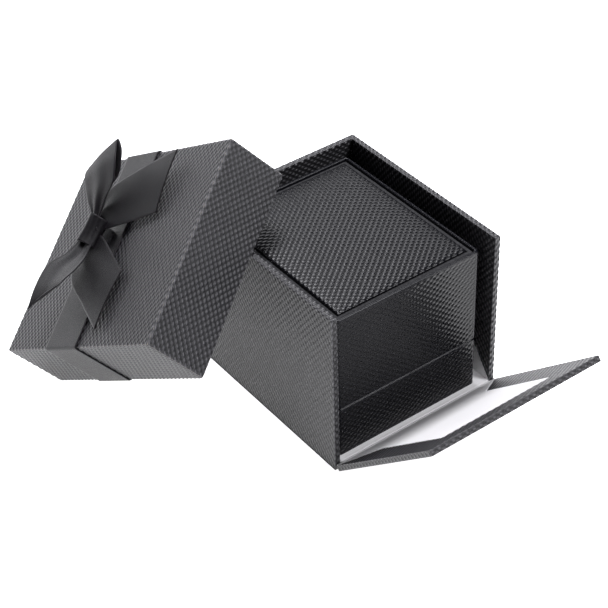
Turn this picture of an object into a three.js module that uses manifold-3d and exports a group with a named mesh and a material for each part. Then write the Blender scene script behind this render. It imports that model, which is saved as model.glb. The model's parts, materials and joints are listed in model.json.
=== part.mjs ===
// Jewelry gift box, millimetres, +Z up: an embossed paper-over-board packer with a drop-down front
// flap, its lift-off outer lid with a ribbon and bow leaning on two of the walls, and the hinged
// ring box that stands inside. Origin: centre of the packer's underside. The flap is towards -Y.

import * as THREE from 'three';
import { mergeVertices } from 'three/addons/utils/BufferGeometryUtils.js';
import Module from 'manifold-3d';

const wasm = await Module();
wasm.setup();

// ---------- driving dimensions ----------

const GLUE = 0.05; // glue line left between pieces that are stuck together
const WRAP = 0.25; // embossed covering paper
const LINING = 0.25; // white lining paper

const RING_W = 50.1; // ring box, outside
const RING_D = 60.0;
const RING_H = 49.0;
const RING_SEAM_Z = 16.8; // top of the ring box base
const RING_SEAM_GAP = 0.3;
const RING_SKIN = 0.35; // leatherette
const RING_SHELL = 1.6; // moulded shell
const RING_CORNER = 1.2; // radius of the upright corners
const RING_CHAMFER = 1.15; // along both back edges at the seam
const RING_PIVOT_INSET = 1.0; // hinge pin axis, in from the back face
const RING_SOLE = 0.3; // paper under the base

const PANEL_INSET = 1.2; // top panel border
const PANEL_GROOVE = 0.25;
const PANEL_T = 1.1;
const PANEL_FOAM_T = 0.6;
const BORDER_RISE = 0.7; // top of the border below the top of the panel

const PUFF_T = 3.5; // satin pad under the ring lid
const PUFF_MARGIN = 0.5;
const ROLL_T = 6.1; // cushion rolls that grip the ring
const ROLL_ROUND = 2.6;
const ROLL_SLOT = 1.4;
const ROLL_DROP = 0.5; // top of the rolls below the seam
const INSERT_CLEAR = 0.2;

const PIN_R = 0.4;
const PIN_RUNNING_GAP = 0.05;
const KNUCKLE_R = 0.9;
const KNUCKLE_CLEAR = 0.2;
const LEAF_T = 0.3;
const LEAF_HALF_W = 9.0;
const LEAF_H = 7.0;
const LID_KNUCKLE_HALF_W = 3.0;
const KNUCKLE_GAP = 0.3;

const GAP_LEFT = 1.0; // ring box to the packer's walls
const GAP_RIGHT = 3.9;
const GAP_BACK = 2.3;
const FRONT_RECESS = 2.1; // ring box behind the wall ends
const WALL_RISE = 2.9; // walls above the ring box
const PACKER_BOARD = 1.4;
const BASE_SHEET = 0.2;
const TOP_TURN_IN = 12.0;
const FRONT_TURN_IN = 10.0;
const TURN_IN_MITRE_H = 14.0; // height of the mitred foot of the front turn-in

const HINGE_PAPER = 0.15;
const HINGE_GAP = 0.25; // wall ends to the shut flap
const FLAP_LIFT_OFF = 0.1; // lower edge of the flap from its fold line
const FLAP_PROUD = 1.2; // shut flap above the walls
const FLAP_REST_ANGLE = 42; // degrees above the table
const FLAP_TURN_IN_LEFT = 8.6;
const FLAP_TURN_IN_RIGHT = 12.8;
const FLAP_TURN_IN_TOP = 7.2;
const FLAP_MITRE_H = 13.6;

const LID_H = 19.9;
const LID_BOARD = 1.1;
const LID_SLIP = 0.8; // lid inside to packer outside, both sides together
const LID_TURN_IN = 11.0;
const LID_TILT = [-22.5, -38.5, -77.3]; // degrees about x, y, z of the leaning lid
const LID_REST_GAP = 0.12; // lid rim to the wall tops it leans on
const LID_FLOOR_GAP = 0.3; // lowest lid corner to the table

const RIBBON_W = 16.0;
const RIBBON_T = 0.3;
const RIBBON_OFFSET = -6.2; // band centre from the lid centre
const RIBBON_RETURN = 9.0; // ribbon end glued up inside the lid
const RIBBON_SIDE_GAP = 1.0; // least distance from the ribbon to where the rim rests
const BOW_CENTRE_Y = 3.2;
const KNOT_W = 8.2;
const KNOT_L = 8.6;
const KNOT_H = 6.0;
const GLUE_PAD_R = 3.0;
const GLUE_PAD_T = 0.6;
const LOOP_LENGTH = 21.0;
const LOOP_H = 10.0;
const LOOP_T = 0.5;
const TAIL_T = 0.4;
const TAIL_LENGTH_FAR = 24.0;
const TAIL_LENGTH_NEAR = 25.0;
const TAIL_ANGLE_FAR = 30; // degrees from +x of the lid
const TAIL_ANGLE_NEAR = -52;
const TAIL_SLANT = 8.0; // slant of the cut end

// ---------- derived sizes ----------

const PACKER_WALL = WRAP + GLUE + PACKER_BOARD + GLUE + LINING;
const FLOOR_TOP = BASE_SHEET + GLUE + PACKER_BOARD + GLUE + LINING;
const RING_Z = FLOOR_TOP + GLUE;
const PACKER_W = RING_W + GAP_LEFT + GAP_RIGHT + 2 * PACKER_WALL;
const PACKER_D = FRONT_RECESS + RING_D + GAP_BACK + PACKER_WALL;
const PACKER_H = RING_Z + RING_H + WALL_RISE;
const X1 = PACKER_W / 2;
const Y1 = PACKER_D / 2;
const IN_X1 = X1 - PACKER_WALL;
const IN_Y1 = Y1 - PACKER_WALL;
const RING_X = -X1 + PACKER_WALL + GAP_LEFT + RING_W / 2;
const RING_Y = -Y1 + FRONT_RECESS + RING_D / 2;

const FLAP_T = LINING + GLUE + PACKER_BOARD + GLUE + WRAP;
const FLAP_PIVOT_Y = -Y1 - HINGE_GAP;
const FLAP_PIVOT_Z = FLAP_T + GLUE;
const FLAP_L = PACKER_H + FLAP_PROUD - FLAP_PIVOT_Z;

const LID_WALL = WRAP + GLUE + LID_BOARD + GLUE + LINING;
const LID_A = PACKER_D + HINGE_GAP + FLAP_T + LID_SLIP + 2 * LID_WALL;
const LID_B = PACKER_W + LID_SLIP + 2 * LID_WALL;

const RING_WALL = RING_SKIN + GLUE + RING_SHELL;
const RING_LID_Z = RING_SEAM_Z + RING_SEAM_GAP;
const PIVOT_Y = RING_D / 2 - RING_PIVOT_INSET;
const PIVOT_Z = RING_SEAM_Z + RING_SEAM_GAP / 2;
const SHELL_TOP = RING_H - PANEL_T - GLUE - PANEL_FOAM_T - GLUE;

// ---------- helpers ----------

function material(color, roughness, metalness = 0) {
  return new THREE.MeshStandardMaterial({ color, roughness, metalness });
}

const EMBOSSED = material(0x3a3b40, 0.5);
const BOARD = material(0x8f8a80, 0.9);
const WHITE_PAPER = material(0xdedde0, 0.85);
const LEATHERETTE = material(0x1c1d20, 0.4);
const MOULDED = material(0x26262a, 0.6);
const SATIN = material(0x353438, 0.55);
const VELVET = material(0x1a1a1d, 0.95);
const FOAM = material(0x5a5a5c, 0.95);
const STEEL = material(0xb8bbc0, 0.3, 0.9);

function block([x0, x1], [y0, y1], [z0, z1]) {
  const geometry = new THREE.BoxGeometry(x1 - x0, y1 - y0, z1 - z0);
  return geometry.translate((x0 + x1) / 2, (y0 + y1) / 2, (z0 + z1) / 2);
}

function manifoldOf(geometry) {
  const bare = geometry.clone();
  bare.deleteAttribute('normal');
  bare.deleteAttribute('uv');
  const merged = mergeVertices(bare, 1e-5);
  const triVerts = Uint32Array.from(merged.index.array);
  const vertProperties = Float32Array.from(merged.attributes.position.array);
  return new wasm.Manifold(new wasm.Mesh({ numProp: 3, vertProperties, triVerts }));
}

function geometryOf(manifold) {
  const mesh = manifold.getMesh();
  const geometry = new THREE.BufferGeometry();
  geometry.setAttribute('position', new THREE.BufferAttribute(Float32Array.from(mesh.vertProperties), 3));
  geometry.setIndex(new THREE.BufferAttribute(Uint32Array.from(mesh.triVerts), 1));
  return geometry;
}

function join(...geometries) {
  return geometryOf(geometries.map(manifoldOf).reduce((all, next) => all.add(next)));
}

function cut(geometry, ...tools) {
  return geometryOf(tools.map(manifoldOf).reduce((rest, tool) => rest.subtract(tool), manifoldOf(geometry)));
}

function shapeOf(points) {
  return new THREE.Shape(points.map(([u, v]) => new THREE.Vector2(u, v)));
}

// An outline in (y, z) carried along x.
function prismX(shape, [x0, x1]) {
  const geometry = new THREE.ExtrudeGeometry(shape, { depth: x1 - x0, bevelEnabled: false, curveSegments: 6 });
  const Y = new THREE.Vector3(0, 1, 0);
  const Z = new THREE.Vector3(0, 0, 1);
  const X = new THREE.Vector3(1, 0, 0);
  return geometry.applyMatrix4(new THREE.Matrix4().makeBasis(Y, Z, X)).translate(x0, 0, 0);
}

// An outline in (x, z) carried along y.
function prismY(shape, [y0, y1]) {
  const geometry = new THREE.ExtrudeGeometry(shape, { depth: y1 - y0, bevelEnabled: false });
  const X = new THREE.Vector3(1, 0, 0);
  const Z = new THREE.Vector3(0, 0, 1);
  const BACK = new THREE.Vector3(0, -1, 0);
  return geometry.applyMatrix4(new THREE.Matrix4().makeBasis(X, Z, BACK)).translate(0, y1, 0);
}

// An outline in (x, y) carried along z.
function prismZ(shape, [z0, z1]) {
  const geometry = new THREE.ExtrudeGeometry(shape, { depth: z1 - z0, bevelEnabled: false, curveSegments: 4 });
  return geometry.translate(0, 0, z0);
}

function roundRect(width, depth, radius) {
  const [w, d, r] = [width / 2, depth / 2, radius];
  const shape = new THREE.Shape();
  shape.moveTo(-w + r, -d);
  shape.lineTo(w - r, -d);
  shape.absarc(w - r, -d + r, r, -Math.PI / 2, 0, false);
  shape.lineTo(w, d - r);
  shape.absarc(w - r, d - r, r, 0, Math.PI / 2, false);
  shape.lineTo(-w + r, d);
  shape.absarc(-w + r, d - r, r, Math.PI / 2, Math.PI, false);
  shape.lineTo(-w, -d + r);
  shape.absarc(-w + r, -d + r, r, Math.PI, 1.5 * Math.PI, false);
  return shape;
}

// A cylinder of radius r along x, centred on (y, z).
function rodX(radius, [x0, x1], y, z) {
  const geometry = new THREE.CylinderGeometry(radius, radius, x1 - x0, 24);
  return geometry.rotateZ(Math.PI / 2).translate((x0 + x1) / 2, y, z);
}

function addMesh(group, name, geometry, skin) {
  const mesh = new THREE.Mesh(geometry, skin.clone());
  mesh.name = name;
  group.add(mesh);
}

// ---------- packer ----------

// White lining on a side wall, in (y, z); grown is how far the hole in the turn-in stands off it.
function sideLiningOutline(grown) {
  const front = -Y1 + WRAP + GLUE - grown;
  const mitre = -Y1 + FRONT_TURN_IN - grown;
  const foot = FLOOR_TOP - LINING - grown;
  const top = PACKER_H - TOP_TURN_IN + grown;
  return shapeOf([
    [front, foot],
    [IN_Y1, foot],
    [IN_Y1, top],
    [mitre, top],
    [mitre, FLOOR_TOP + TURN_IN_MITRE_H],
    [front, FLOOR_TOP + GLUE + grown],
  ]);
}

function packerWrapSide(side) {
  const spanX = (a, b) => [Math.min(side * a, side * b), Math.max(side * a, side * b)];
  const z = [BASE_SHEET + GLUE, PACKER_H];
  const outside = block(spanX(X1, X1 - WRAP), [-Y1, Y1], z);
  const topEdge = block(spanX(X1, IN_X1), [-Y1, Y1], [PACKER_H - WRAP, PACKER_H]);
  const frontEdge = block(spanX(X1, IN_X1), [-Y1, -Y1 + WRAP], z);
  const inside = block(spanX(IN_X1 + LINING, IN_X1), [-Y1, IN_Y1], [FLOOR_TOP + GLUE, PACKER_H]);
  const window = prismX(sideLiningOutline(GLUE), spanX(IN_X1 + LINING + GLUE, IN_X1 - GLUE));
  return join(outside, topEdge, frontEdge, cut(inside, window));
}

function packerWrapBack() {
  const outside = block([-X1, X1], [Y1 - WRAP, Y1], [BASE_SHEET + GLUE, PACKER_H]);
  const topEdge = block([-X1, X1], [IN_Y1, Y1], [PACKER_H - WRAP, PACKER_H]);
  const inside = block([-IN_X1 - LINING, IN_X1 + LINING], [IN_Y1, IN_Y1 + LINING], [PACKER_H - TOP_TURN_IN, PACKER_H]);
  return join(outside, topEdge, inside);
}

function buildPacker(group) {
  const boardIn = IN_X1 + LINING + GLUE;
  const boardOut = X1 - WRAP - GLUE;
  const backIn = IN_Y1 + LINING + GLUE;
  const backOut = Y1 - WRAP - GLUE;
  const wallZ = [BASE_SHEET + GLUE, PACKER_H - WRAP - GLUE];
  const floorZ = [BASE_SHEET + GLUE, BASE_SHEET + GLUE + PACKER_BOARD];
  const liningZ = [FLOOR_TOP - LINING, FLOOR_TOP];
  const frontIn = -Y1 + WRAP + GLUE;
  const floorX = IN_X1 - GLUE;

  addMesh(group, 'base_sheet', block([-X1, X1], [-Y1, Y1], [0, BASE_SHEET]), EMBOSSED);
  addMesh(group, 'floor_board', block([-floorX, floorX], [-Y1, backIn - GLUE], floorZ), BOARD);
  addMesh(group, 'left_wall_board', block([-boardOut, -boardIn], [frontIn, backIn - GLUE], wallZ), BOARD);
  addMesh(group, 'right_wall_board', block([boardIn, boardOut], [frontIn, backIn - GLUE], wallZ), BOARD);
  addMesh(group, 'back_wall_board', block([-boardOut, boardOut], [backIn, backOut], wallZ), BOARD);
  addMesh(group, 'packer_wrap', join(packerWrapSide(-1), packerWrapSide(1), packerWrapBack()), EMBOSSED);

  const leftX = [-IN_X1 - LINING, -IN_X1];
  const rightX = [IN_X1, IN_X1 + LINING];
  const backZ = [FLOOR_TOP + GLUE, PACKER_H - TOP_TURN_IN - GLUE];
  addMesh(group, 'floor_lining', block([-floorX, floorX], [-Y1, IN_Y1 - GLUE], liningZ), WHITE_PAPER);
  addMesh(group, 'left_wall_lining', prismX(sideLiningOutline(0), leftX), WHITE_PAPER);
  addMesh(group, 'right_wall_lining', prismX(sideLiningOutline(0), rightX), WHITE_PAPER);
  addMesh(group, 'back_wall_lining', block([-floorX, floorX], [IN_Y1, IN_Y1 + LINING], backZ), WHITE_PAPER);

  const hingeY = [-Y1 - GLUE - HINGE_PAPER, -Y1 - GLUE];
  addMesh(group, 'flap_hinge_paper', block([-X1, X1], hingeY, [BASE_SHEET, FLOOR_TOP]), EMBOSSED);
}

// ---------- front flap, drawn shut about its fold line ----------

// Lining on the flap, in (x, z up from the fold line).
function flapLiningOutline(grown) {
  const left = -X1 + FLAP_TURN_IN_LEFT - grown;
  const right = X1 - FLAP_TURN_IN_RIGHT + grown;
  const top = FLAP_L - FLAP_TURN_IN_TOP + grown;
  const foot = FLAP_LIFT_OFF + WRAP + GLUE - grown;
  const footX = X1 - WRAP - GLUE + grown;
  return shapeOf([
    [-footX, foot],
    [footX, foot],
    [right, FLAP_MITRE_H],
    [right, top],
    [left, top],
    [left, FLAP_MITRE_H],
  ]);
}

function flapWrap() {
  const z = [FLAP_LIFT_OFF, FLAP_L];
  const body = block([-X1, X1], [-FLAP_T, 0], z);
  const boardRoom = block(
    [-X1 + WRAP, X1 - WRAP],
    [-FLAP_T + WRAP, -LINING],
    [FLAP_LIFT_OFF + WRAP, FLAP_L - WRAP],
  );
  const window = prismY(flapLiningOutline(GLUE), [-LINING - GLUE, GLUE]);
  return cut(body, boardRoom, window);
}

function buildFlap(group) {
  const boardX = X1 - WRAP - GLUE;
  const boardY = [-FLAP_T + WRAP + GLUE, -LINING - GLUE];
  const boardZ = [FLAP_LIFT_OFF + WRAP + GLUE, FLAP_L - WRAP - GLUE];
  addMesh(group, 'flap_board', block([-boardX, boardX], boardY, boardZ), BOARD);
  addMesh(group, 'flap_wrap', flapWrap(), EMBOSSED);
  addMesh(group, 'flap_lining', prismY(flapLiningOutline(0), [-LINING, 0]), WHITE_PAPER);
}

// ---------- outer lid, drawn upright with its rim at z = 0 ----------

function lidWrap() {
  const [a, b] = [LID_A / 2, LID_B / 2];
  const body = block([-a, a], [-b, b], [0, LID_H]);
  const hollow = block([-a + LID_WALL, a - LID_WALL], [-b + LID_WALL, b - LID_WALL], [-1, LID_H - WRAP]);
  const boardRoom = block([-a + WRAP, a - WRAP], [-b + WRAP, b - WRAP], [WRAP, LID_H - WRAP]);
  const turnIn = block(
    [-a + LID_WALL - LINING, a - LID_WALL + LINING],
    [-b + LID_WALL - LINING, b - LID_WALL + LINING],
    [0, LID_TURN_IN],
  );
  return join(cut(body, hollow, boardRoom), cut(turnIn, hollow));
}

function buildLidShell(group) {
  const a = LID_A / 2 - WRAP - GLUE;
  const b = LID_B / 2 - WRAP - GLUE;
  const topZ = [LID_H - WRAP - GLUE - LID_BOARD, LID_H - WRAP - GLUE];
  const skirtZ = [WRAP + GLUE, topZ[0] - GLUE];
  const endY = b - LID_BOARD - GLUE;
  addMesh(group, 'lid_top_board', block([-a, a], [-b, b], topZ), BOARD);
  addMesh(group, 'lid_left_board', block([-a, a], [b - LID_BOARD, b], skirtZ), BOARD);
  addMesh(group, 'lid_right_board', block([-a, a], [-b, -b + LID_BOARD], skirtZ), BOARD);
  addMesh(group, 'lid_front_board', block([a - LID_BOARD, a], [-endY, endY], skirtZ), BOARD);
  addMesh(group, 'lid_back_board', block([-a, -a + LID_BOARD], [-endY, endY], skirtZ), BOARD);
  addMesh(group, 'lid_wrap', lidWrap(), EMBOSSED);

  const [ia, ib] = [LID_A / 2 - LID_WALL, LID_B / 2 - LID_WALL];
  const liningTop = topZ[0] - GLUE;
  const sideZ = [LID_TURN_IN + GLUE, liningTop - LINING - GLUE];
  const sideLining = cut(
    block([-ia - LINING, ia + LINING], [-ib - LINING, ib + LINING], sideZ),
    block([-ia, ia], [-ib, ib], [sideZ[0] - 1, sideZ[1] + 1]),
  );
  addMesh(group, 'lid_top_lining', block([-ia, ia], [-ib, ib], [liningTop - LINING, liningTop]), WHITE_PAPER);
  addMesh(group, 'lid_skirt_lining', sideLining, WHITE_PAPER);
}

function ribbonBand() {
  const x = [RIBBON_OFFSET - RIBBON_W / 2, RIBBON_OFFSET + RIBBON_W / 2];
  const b = LID_B / 2 + GLUE;
  const top = LID_H + GLUE;
  const inside = LID_B / 2 - LID_WALL - GLUE;
  const outer = block(x, [-b - RIBBON_T, b + RIBBON_T], [-GLUE - RIBBON_T, top + RIBBON_T]);
  const lidRoom = block([x[0] - 1, x[1] + 1], [-b, b], [-GLUE, top]);
  const over = cut(outer, lidRoom, block([x[0] - 1, x[1] + 1], [-inside, inside], [-2, 1]));
  const returns = [-1, 1].map((side) => {
    const y = [side * inside, side * (inside - RIBBON_T)].sort((p, q) => p - q);
    return block(x, y, [-GLUE - RIBBON_T, RIBBON_RETURN]);
  });
  const feet = [-1, 1].map((side) => {
    const y = [side * (b + RIBBON_T), side * (inside - RIBBON_T)].sort((p, q) => p - q);
    return block(x, y, [-GLUE - RIBBON_T, -GLUE]);
  });
  return join(over, ...returns, ...feet);
}

// A flattened loop of ribbon standing out from the knot; side is +1 or -1 along y.
function bowLoop(side) {
  const start = KNOT_L / 2 + GLUE;
  const outer = new THREE.Shape();
  outer.moveTo(start, 1);
  outer.quadraticCurveTo(start + LOOP_LENGTH * 0.5, -1, start + LOOP_LENGTH, LOOP_H * 0.75);
  outer.quadraticCurveTo(start + LOOP_LENGTH * 1.05, LOOP_H, start + LOOP_LENGTH * 0.9, LOOP_H);
  outer.quadraticCurveTo(start + LOOP_LENGTH * 0.4, LOOP_H * 0.95, start, 4);
  const inner = new THREE.Path();
  inner.moveTo(start + LOOP_T * 3, 1.9);
  inner.quadraticCurveTo(start + LOOP_LENGTH * 0.5, -1 + 2 * LOOP_T, start + LOOP_LENGTH - LOOP_T, LOOP_H * 0.75);
  inner.lineTo(start + LOOP_LENGTH * 0.9, LOOP_H - LOOP_T);
  inner.quadraticCurveTo(start + LOOP_LENGTH * 0.4, LOOP_H * 0.95 - LOOP_T, start + LOOP_T * 3, 3.2);
  outer.holes.push(inner);
  const geometry = prismX(outer, [-RIBBON_W / 2, RIBBON_W / 2]);
  if (side < 0) geometry.rotateZ(Math.PI);
  return geometry;
}

// A flat tail with a slanting cut end, drawn along +x from the knot.
function bowTail(length, slant) {
  const root = KNOT_W / 2 + GLUE;
  const outline = shapeOf([
    [root, -KNOT_L / 4],
    [root + length / 2, -RIBBON_W / 2],
    [root + length - Math.max(slant, 0), -RIBBON_W / 2],
    [root + length + Math.min(slant, 0), RIBBON_W / 2],
    [root + length / 2, RIBBON_W / 2],
    [root, KNOT_L / 4],
  ]);
  return prismZ(outline, [0, TAIL_T]);
}

function buildBow(group) {
  const top = LID_H + GLUE + RIBBON_T + GLUE;
  const bow = new THREE.Group();
  bow.position.set(RIBBON_OFFSET, BOW_CENTRE_Y, top);
  group.add(bow);

  const pad = new THREE.CylinderGeometry(GLUE_PAD_R, GLUE_PAD_R, GLUE_PAD_T, 24).rotateX(Math.PI / 2);
  addMesh(bow, 'bow_glue_pad', pad.translate(0, 0, GLUE_PAD_T / 2), FOAM);

  const knotBottom = GLUE_PAD_T + TAIL_T + 3 * GLUE;
  const knot = new THREE.CylinderGeometry(KNOT_W / 2, KNOT_W / 2, KNOT_L, 24);
  knot.scale(1, 1, (KNOT_H - knotBottom) / KNOT_W).translate(0, 0, (KNOT_H + knotBottom) / 2);
  addMesh(bow, 'bow_knot', knot, SATIN);

  const loopLift = knotBottom + TAIL_T;
  addMesh(bow, 'bow_loop_far', bowLoop(1).translate(0, 0, loopLift), SATIN);
  addMesh(bow, 'bow_loop_near', bowLoop(-1).translate(0, 0, loopLift), SATIN);

  const tailZ = GLUE_PAD_T + GLUE;
  const far = bowTail(TAIL_LENGTH_FAR, TAIL_SLANT).rotateZ(THREE.MathUtils.degToRad(TAIL_ANGLE_FAR));
  const near = bowTail(TAIL_LENGTH_NEAR, -TAIL_SLANT).rotateZ(THREE.MathUtils.degToRad(TAIL_ANGLE_NEAR));
  addMesh(bow, 'bow_tail_far', far.translate(0, 0, tailZ), SATIN);
  addMesh(bow, 'bow_tail_near', near.translate(0, 0, tailZ), SATIN);
}

// The lid stands on one rim corner and leans its inner rim edges on the left and back wall tops.
function placeLid(group) {
  const angles = LID_TILT.map(THREE.MathUtils.degToRad);
  group.rotation.set(angles[0], angles[1], angles[2], 'XYZ');
  const a = new THREE.Vector3();
  const b = new THREE.Vector3();
  const n = new THREE.Vector3();
  new THREE.Matrix4().makeRotationFromEuler(group.rotation).extractBasis(a, b, n);
  const [ia, ib] = [LID_A / 2 - LID_WALL, LID_B / 2 - LID_WALL];
  const z = LID_FLOOR_GAP + a.z * LID_A / 2 + b.z * LID_B / 2;
  const drop = PACKER_H + LID_REST_GAP - z;
  const x = -X1 - (drop - ia * (a.z - a.x * b.z / b.x)) * b.x / b.z;
  // where the ribbon wraps round the rim, the lid stands off the back wall by the ribbon
  const restAt = (ribbon) => (drop - (ib - ribbon) * b.z + ribbon * n.z) / a.z;
  const clearOfRibbon = Math.abs(restAt(0) - RIBBON_OFFSET) > RIBBON_W / 2 + RIBBON_SIDE_GAP;
  const ribbon = clearOfRibbon ? 0 : GLUE + RIBBON_T;
  const y = Y1 - restAt(ribbon) * a.y - (ib - ribbon) * b.y + ribbon * n.y;
  group.position.set(x, y, z);
}

// ---------- ring box, drawn about the centre of its own underside ----------

function ringSlab(inset, z) {
  const radius = Math.max(RING_CORNER - inset, 0.3);
  return prismZ(roundRect(RING_W - 2 * inset, RING_D - 2 * inset, radius), z);
}

// Material taken off along a back edge at the seam so that the lid can fall back past the base.
function backChamfer(side) {
  const back = RING_D / 2;
  const seam = side < 0 ? RING_SEAM_Z : RING_LID_Z;
  const reach = RING_CHAMFER + 1;
  const outline = shapeOf([
    [back - RING_CHAMFER - 1, seam - side],
    [back + 1, seam - side],
    [back + 1, seam + side * reach],
  ]);
  return prismX(outline, [-RING_W, RING_W]);
}

function hingeRoom() {
  const x = [-LEAF_HALF_W - KNUCKLE_GAP, LEAF_HALF_W + KNUCKLE_GAP];
  const reach = KNUCKLE_R + KNUCKLE_CLEAR;
  const inner = RING_D / 2 - RING_WALL - 1;
  return block(x, [inner, RING_D / 2 + 1], [PIVOT_Z - reach, PIVOT_Z + reach]);
}

function pinGroove() {
  return rodX(PIN_R + PIN_RUNNING_GAP, [-RING_W, RING_W], PIVOT_Y, PIVOT_Z);
}

function hingeLeaf(side, spans) {
  const plateY = [RING_D / 2 - RING_WALL - GLUE - LEAF_T, RING_D / 2 - RING_WALL - GLUE];
  const edge = PIVOT_Z + side * (KNUCKLE_GAP + GLUE);
  const far = edge + side * LEAF_H;
  const plateZ = [Math.min(edge, far), Math.max(edge, far)];
  const armEnd = edge + side * LEAF_T;
  const armZ = [Math.min(edge, armEnd), Math.max(edge, armEnd)];
  const pieces = [block([-LEAF_HALF_W, LEAF_HALF_W], plateY, plateZ)];
  for (const span of spans) {
    const knuckle = cut(
      rodX(KNUCKLE_R, span, PIVOT_Y, PIVOT_Z),
      rodX(PIN_R + PIN_RUNNING_GAP, [span[0] - 1, span[1] + 1], PIVOT_Y, PIVOT_Z),
    );
    pieces.push(knuckle, block(span, [plateY[0], PIVOT_Y - PIN_R - 3 * PIN_RUNNING_GAP], armZ));
  }
  return join(...pieces);
}

function buildRingBase(group) {
  const skin = ringSlab(0, [0, RING_SEAM_Z]);
  const shellOut = RING_SKIN + GLUE;
  const shellRoom = ringSlab(RING_SKIN, [-1, RING_SEAM_Z - RING_SKIN]);
  const mouth = ringSlab(RING_WALL, [RING_SEAM_Z - 1, RING_SEAM_Z + 1]);
  const tools = [backChamfer(-1), hingeRoom(), pinGroove()];
  addMesh(group, 'ring_base_cover', cut(skin, shellRoom, mouth, ...tools), LEATHERETTE);

  const trayZ = [RING_SOLE + GLUE, RING_SEAM_Z - RING_SKIN - GLUE];
  const trayRoom = ringSlab(RING_WALL, [trayZ[0] + RING_SHELL, RING_SEAM_Z + 1]);
  addMesh(group, 'ring_base_tray', cut(ringSlab(shellOut, trayZ), trayRoom, ...tools), MOULDED);
  addMesh(group, 'ring_base_sole', ringSlab(shellOut, [0, RING_SOLE]), BOARD);

  const insertX = RING_W / 2 - RING_WALL - INSERT_CLEAR;
  const front = -RING_D / 2 + RING_WALL + INSERT_CLEAR;
  const back = RING_D / 2 - RING_WALL - 2 * GLUE - LEAF_T - INSERT_CLEAR;
  const rollTop = RING_SEAM_Z - ROLL_DROP;
  const insertZ = [trayZ[0] + RING_SHELL + GLUE, rollTop - ROLL_T - GLUE];
  addMesh(group, 'ring_insert_foam', block([-insertX, insertX], [front, back], insertZ), FOAM);
  addMesh(group, 'ring_roll_front', cushionRoll([front, -ROLL_SLOT / 2], rollTop, insertX), VELVET);
  addMesh(group, 'ring_roll_back', cushionRoll([ROLL_SLOT / 2, back], rollTop, insertX), VELVET);

  const knuckleSpans = [-1, 1].map((side) => {
    const near = side * (LID_KNUCKLE_HALF_W + KNUCKLE_GAP);
    const far = side * LEAF_HALF_W;
    return [Math.min(near, far), Math.max(near, far)];
  });
  addMesh(group, 'hinge_leaf_base', hingeLeaf(-1, knuckleSpans), STEEL);
  addMesh(group, 'hinge_pin', rodX(PIN_R, [-LEAF_HALF_W, LEAF_HALF_W], PIVOT_Y, PIVOT_Z), STEEL);
}

function cushionRoll([y0, y1], top, halfX) {
  const r = ROLL_ROUND;
  const shape = new THREE.Shape();
  shape.moveTo(y0, top - ROLL_T);
  shape.lineTo(y1, top - ROLL_T);
  shape.lineTo(y1, top - r);
  shape.absarc(y1 - r, top - r, r, 0, Math.PI / 2, false);
  shape.lineTo(y0 + r, top);
  shape.absarc(y0 + r, top - r, r, Math.PI / 2, Math.PI, false);
  return prismX(shape, [-halfX, halfX]);
}

function buildRingLid(group) {
  const borderTop = RING_H - BORDER_RISE;
  const shellOut = RING_SKIN + GLUE;
  const tools = [backChamfer(1), hingeRoom(), pinGroove()];
  const skin = ringSlab(0, [RING_LID_Z, borderTop]);
  const shellRoom = ringSlab(RING_SKIN, [RING_LID_Z + RING_SKIN, SHELL_TOP + GLUE]);
  const mouth = ringSlab(RING_WALL, [RING_LID_Z - 1, RING_LID_Z + 1]);
  const topWindow = ringSlab(PANEL_INSET, [SHELL_TOP - 1, RING_H]);
  addMesh(group, 'ring_lid_cover', cut(skin, shellRoom, mouth, topWindow, ...tools), LEATHERETTE);

  const shellZ = [RING_LID_Z + RING_SKIN + GLUE, SHELL_TOP];
  const ceiling = SHELL_TOP - RING_SHELL;
  const lidRoom = ringSlab(RING_WALL, [RING_LID_Z - 1, ceiling]);
  addMesh(group, 'ring_lid_shell', cut(ringSlab(shellOut, shellZ), lidRoom, ...tools), MOULDED);

  const panelInset = PANEL_INSET + PANEL_GROOVE;
  const foamZ = [SHELL_TOP + GLUE, SHELL_TOP + GLUE + PANEL_FOAM_T];
  addMesh(group, 'ring_lid_foam', ringSlab(panelInset, foamZ), FOAM);
  addMesh(group, 'ring_lid_panel', ringSlab(panelInset, [RING_H - PANEL_T, RING_H]), LEATHERETTE);

  const puffInset = RING_WALL + PUFF_MARGIN;
  addMesh(group, 'ring_lid_puff', ringSlab(puffInset, [ceiling - GLUE - PUFF_T, ceiling - GLUE]), SATIN);
  addMesh(group, 'hinge_leaf_lid', hingeLeaf(1, [[-LID_KNUCKLE_HALF_W, LID_KNUCKLE_HALF_W]]), STEEL);
}

// ---------- assembly ----------

const giftBox = new THREE.Group();

const packer = new THREE.Group();
buildPacker(packer);

const flap = new THREE.Group();
buildFlap(flap);
flap.position.set(0, FLAP_PIVOT_Y, FLAP_PIVOT_Z);
flap.rotation.x = THREE.MathUtils.degToRad(90 - FLAP_REST_ANGLE);

const outerLid = new THREE.Group();
buildLidShell(outerLid);
addMesh(outerLid, 'ribbon_band', ribbonBand(), SATIN);
buildBow(outerLid);
placeLid(outerLid);

const ringBox = new THREE.Group();
buildRingBase(ringBox);
buildRingLid(ringBox);
ringBox.position.set(RING_X, RING_Y, RING_Z);

giftBox.add(packer, flap, outerLid, ringBox);

export default giftBox;
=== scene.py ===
"""Jewelry gift box: embossed packer with a drop-down flap, leaning ribboned lid and a hinged ring box."""

import json
import math

import bpy
import numpy as np
from mathutils import Euler, Matrix, Vector


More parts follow.
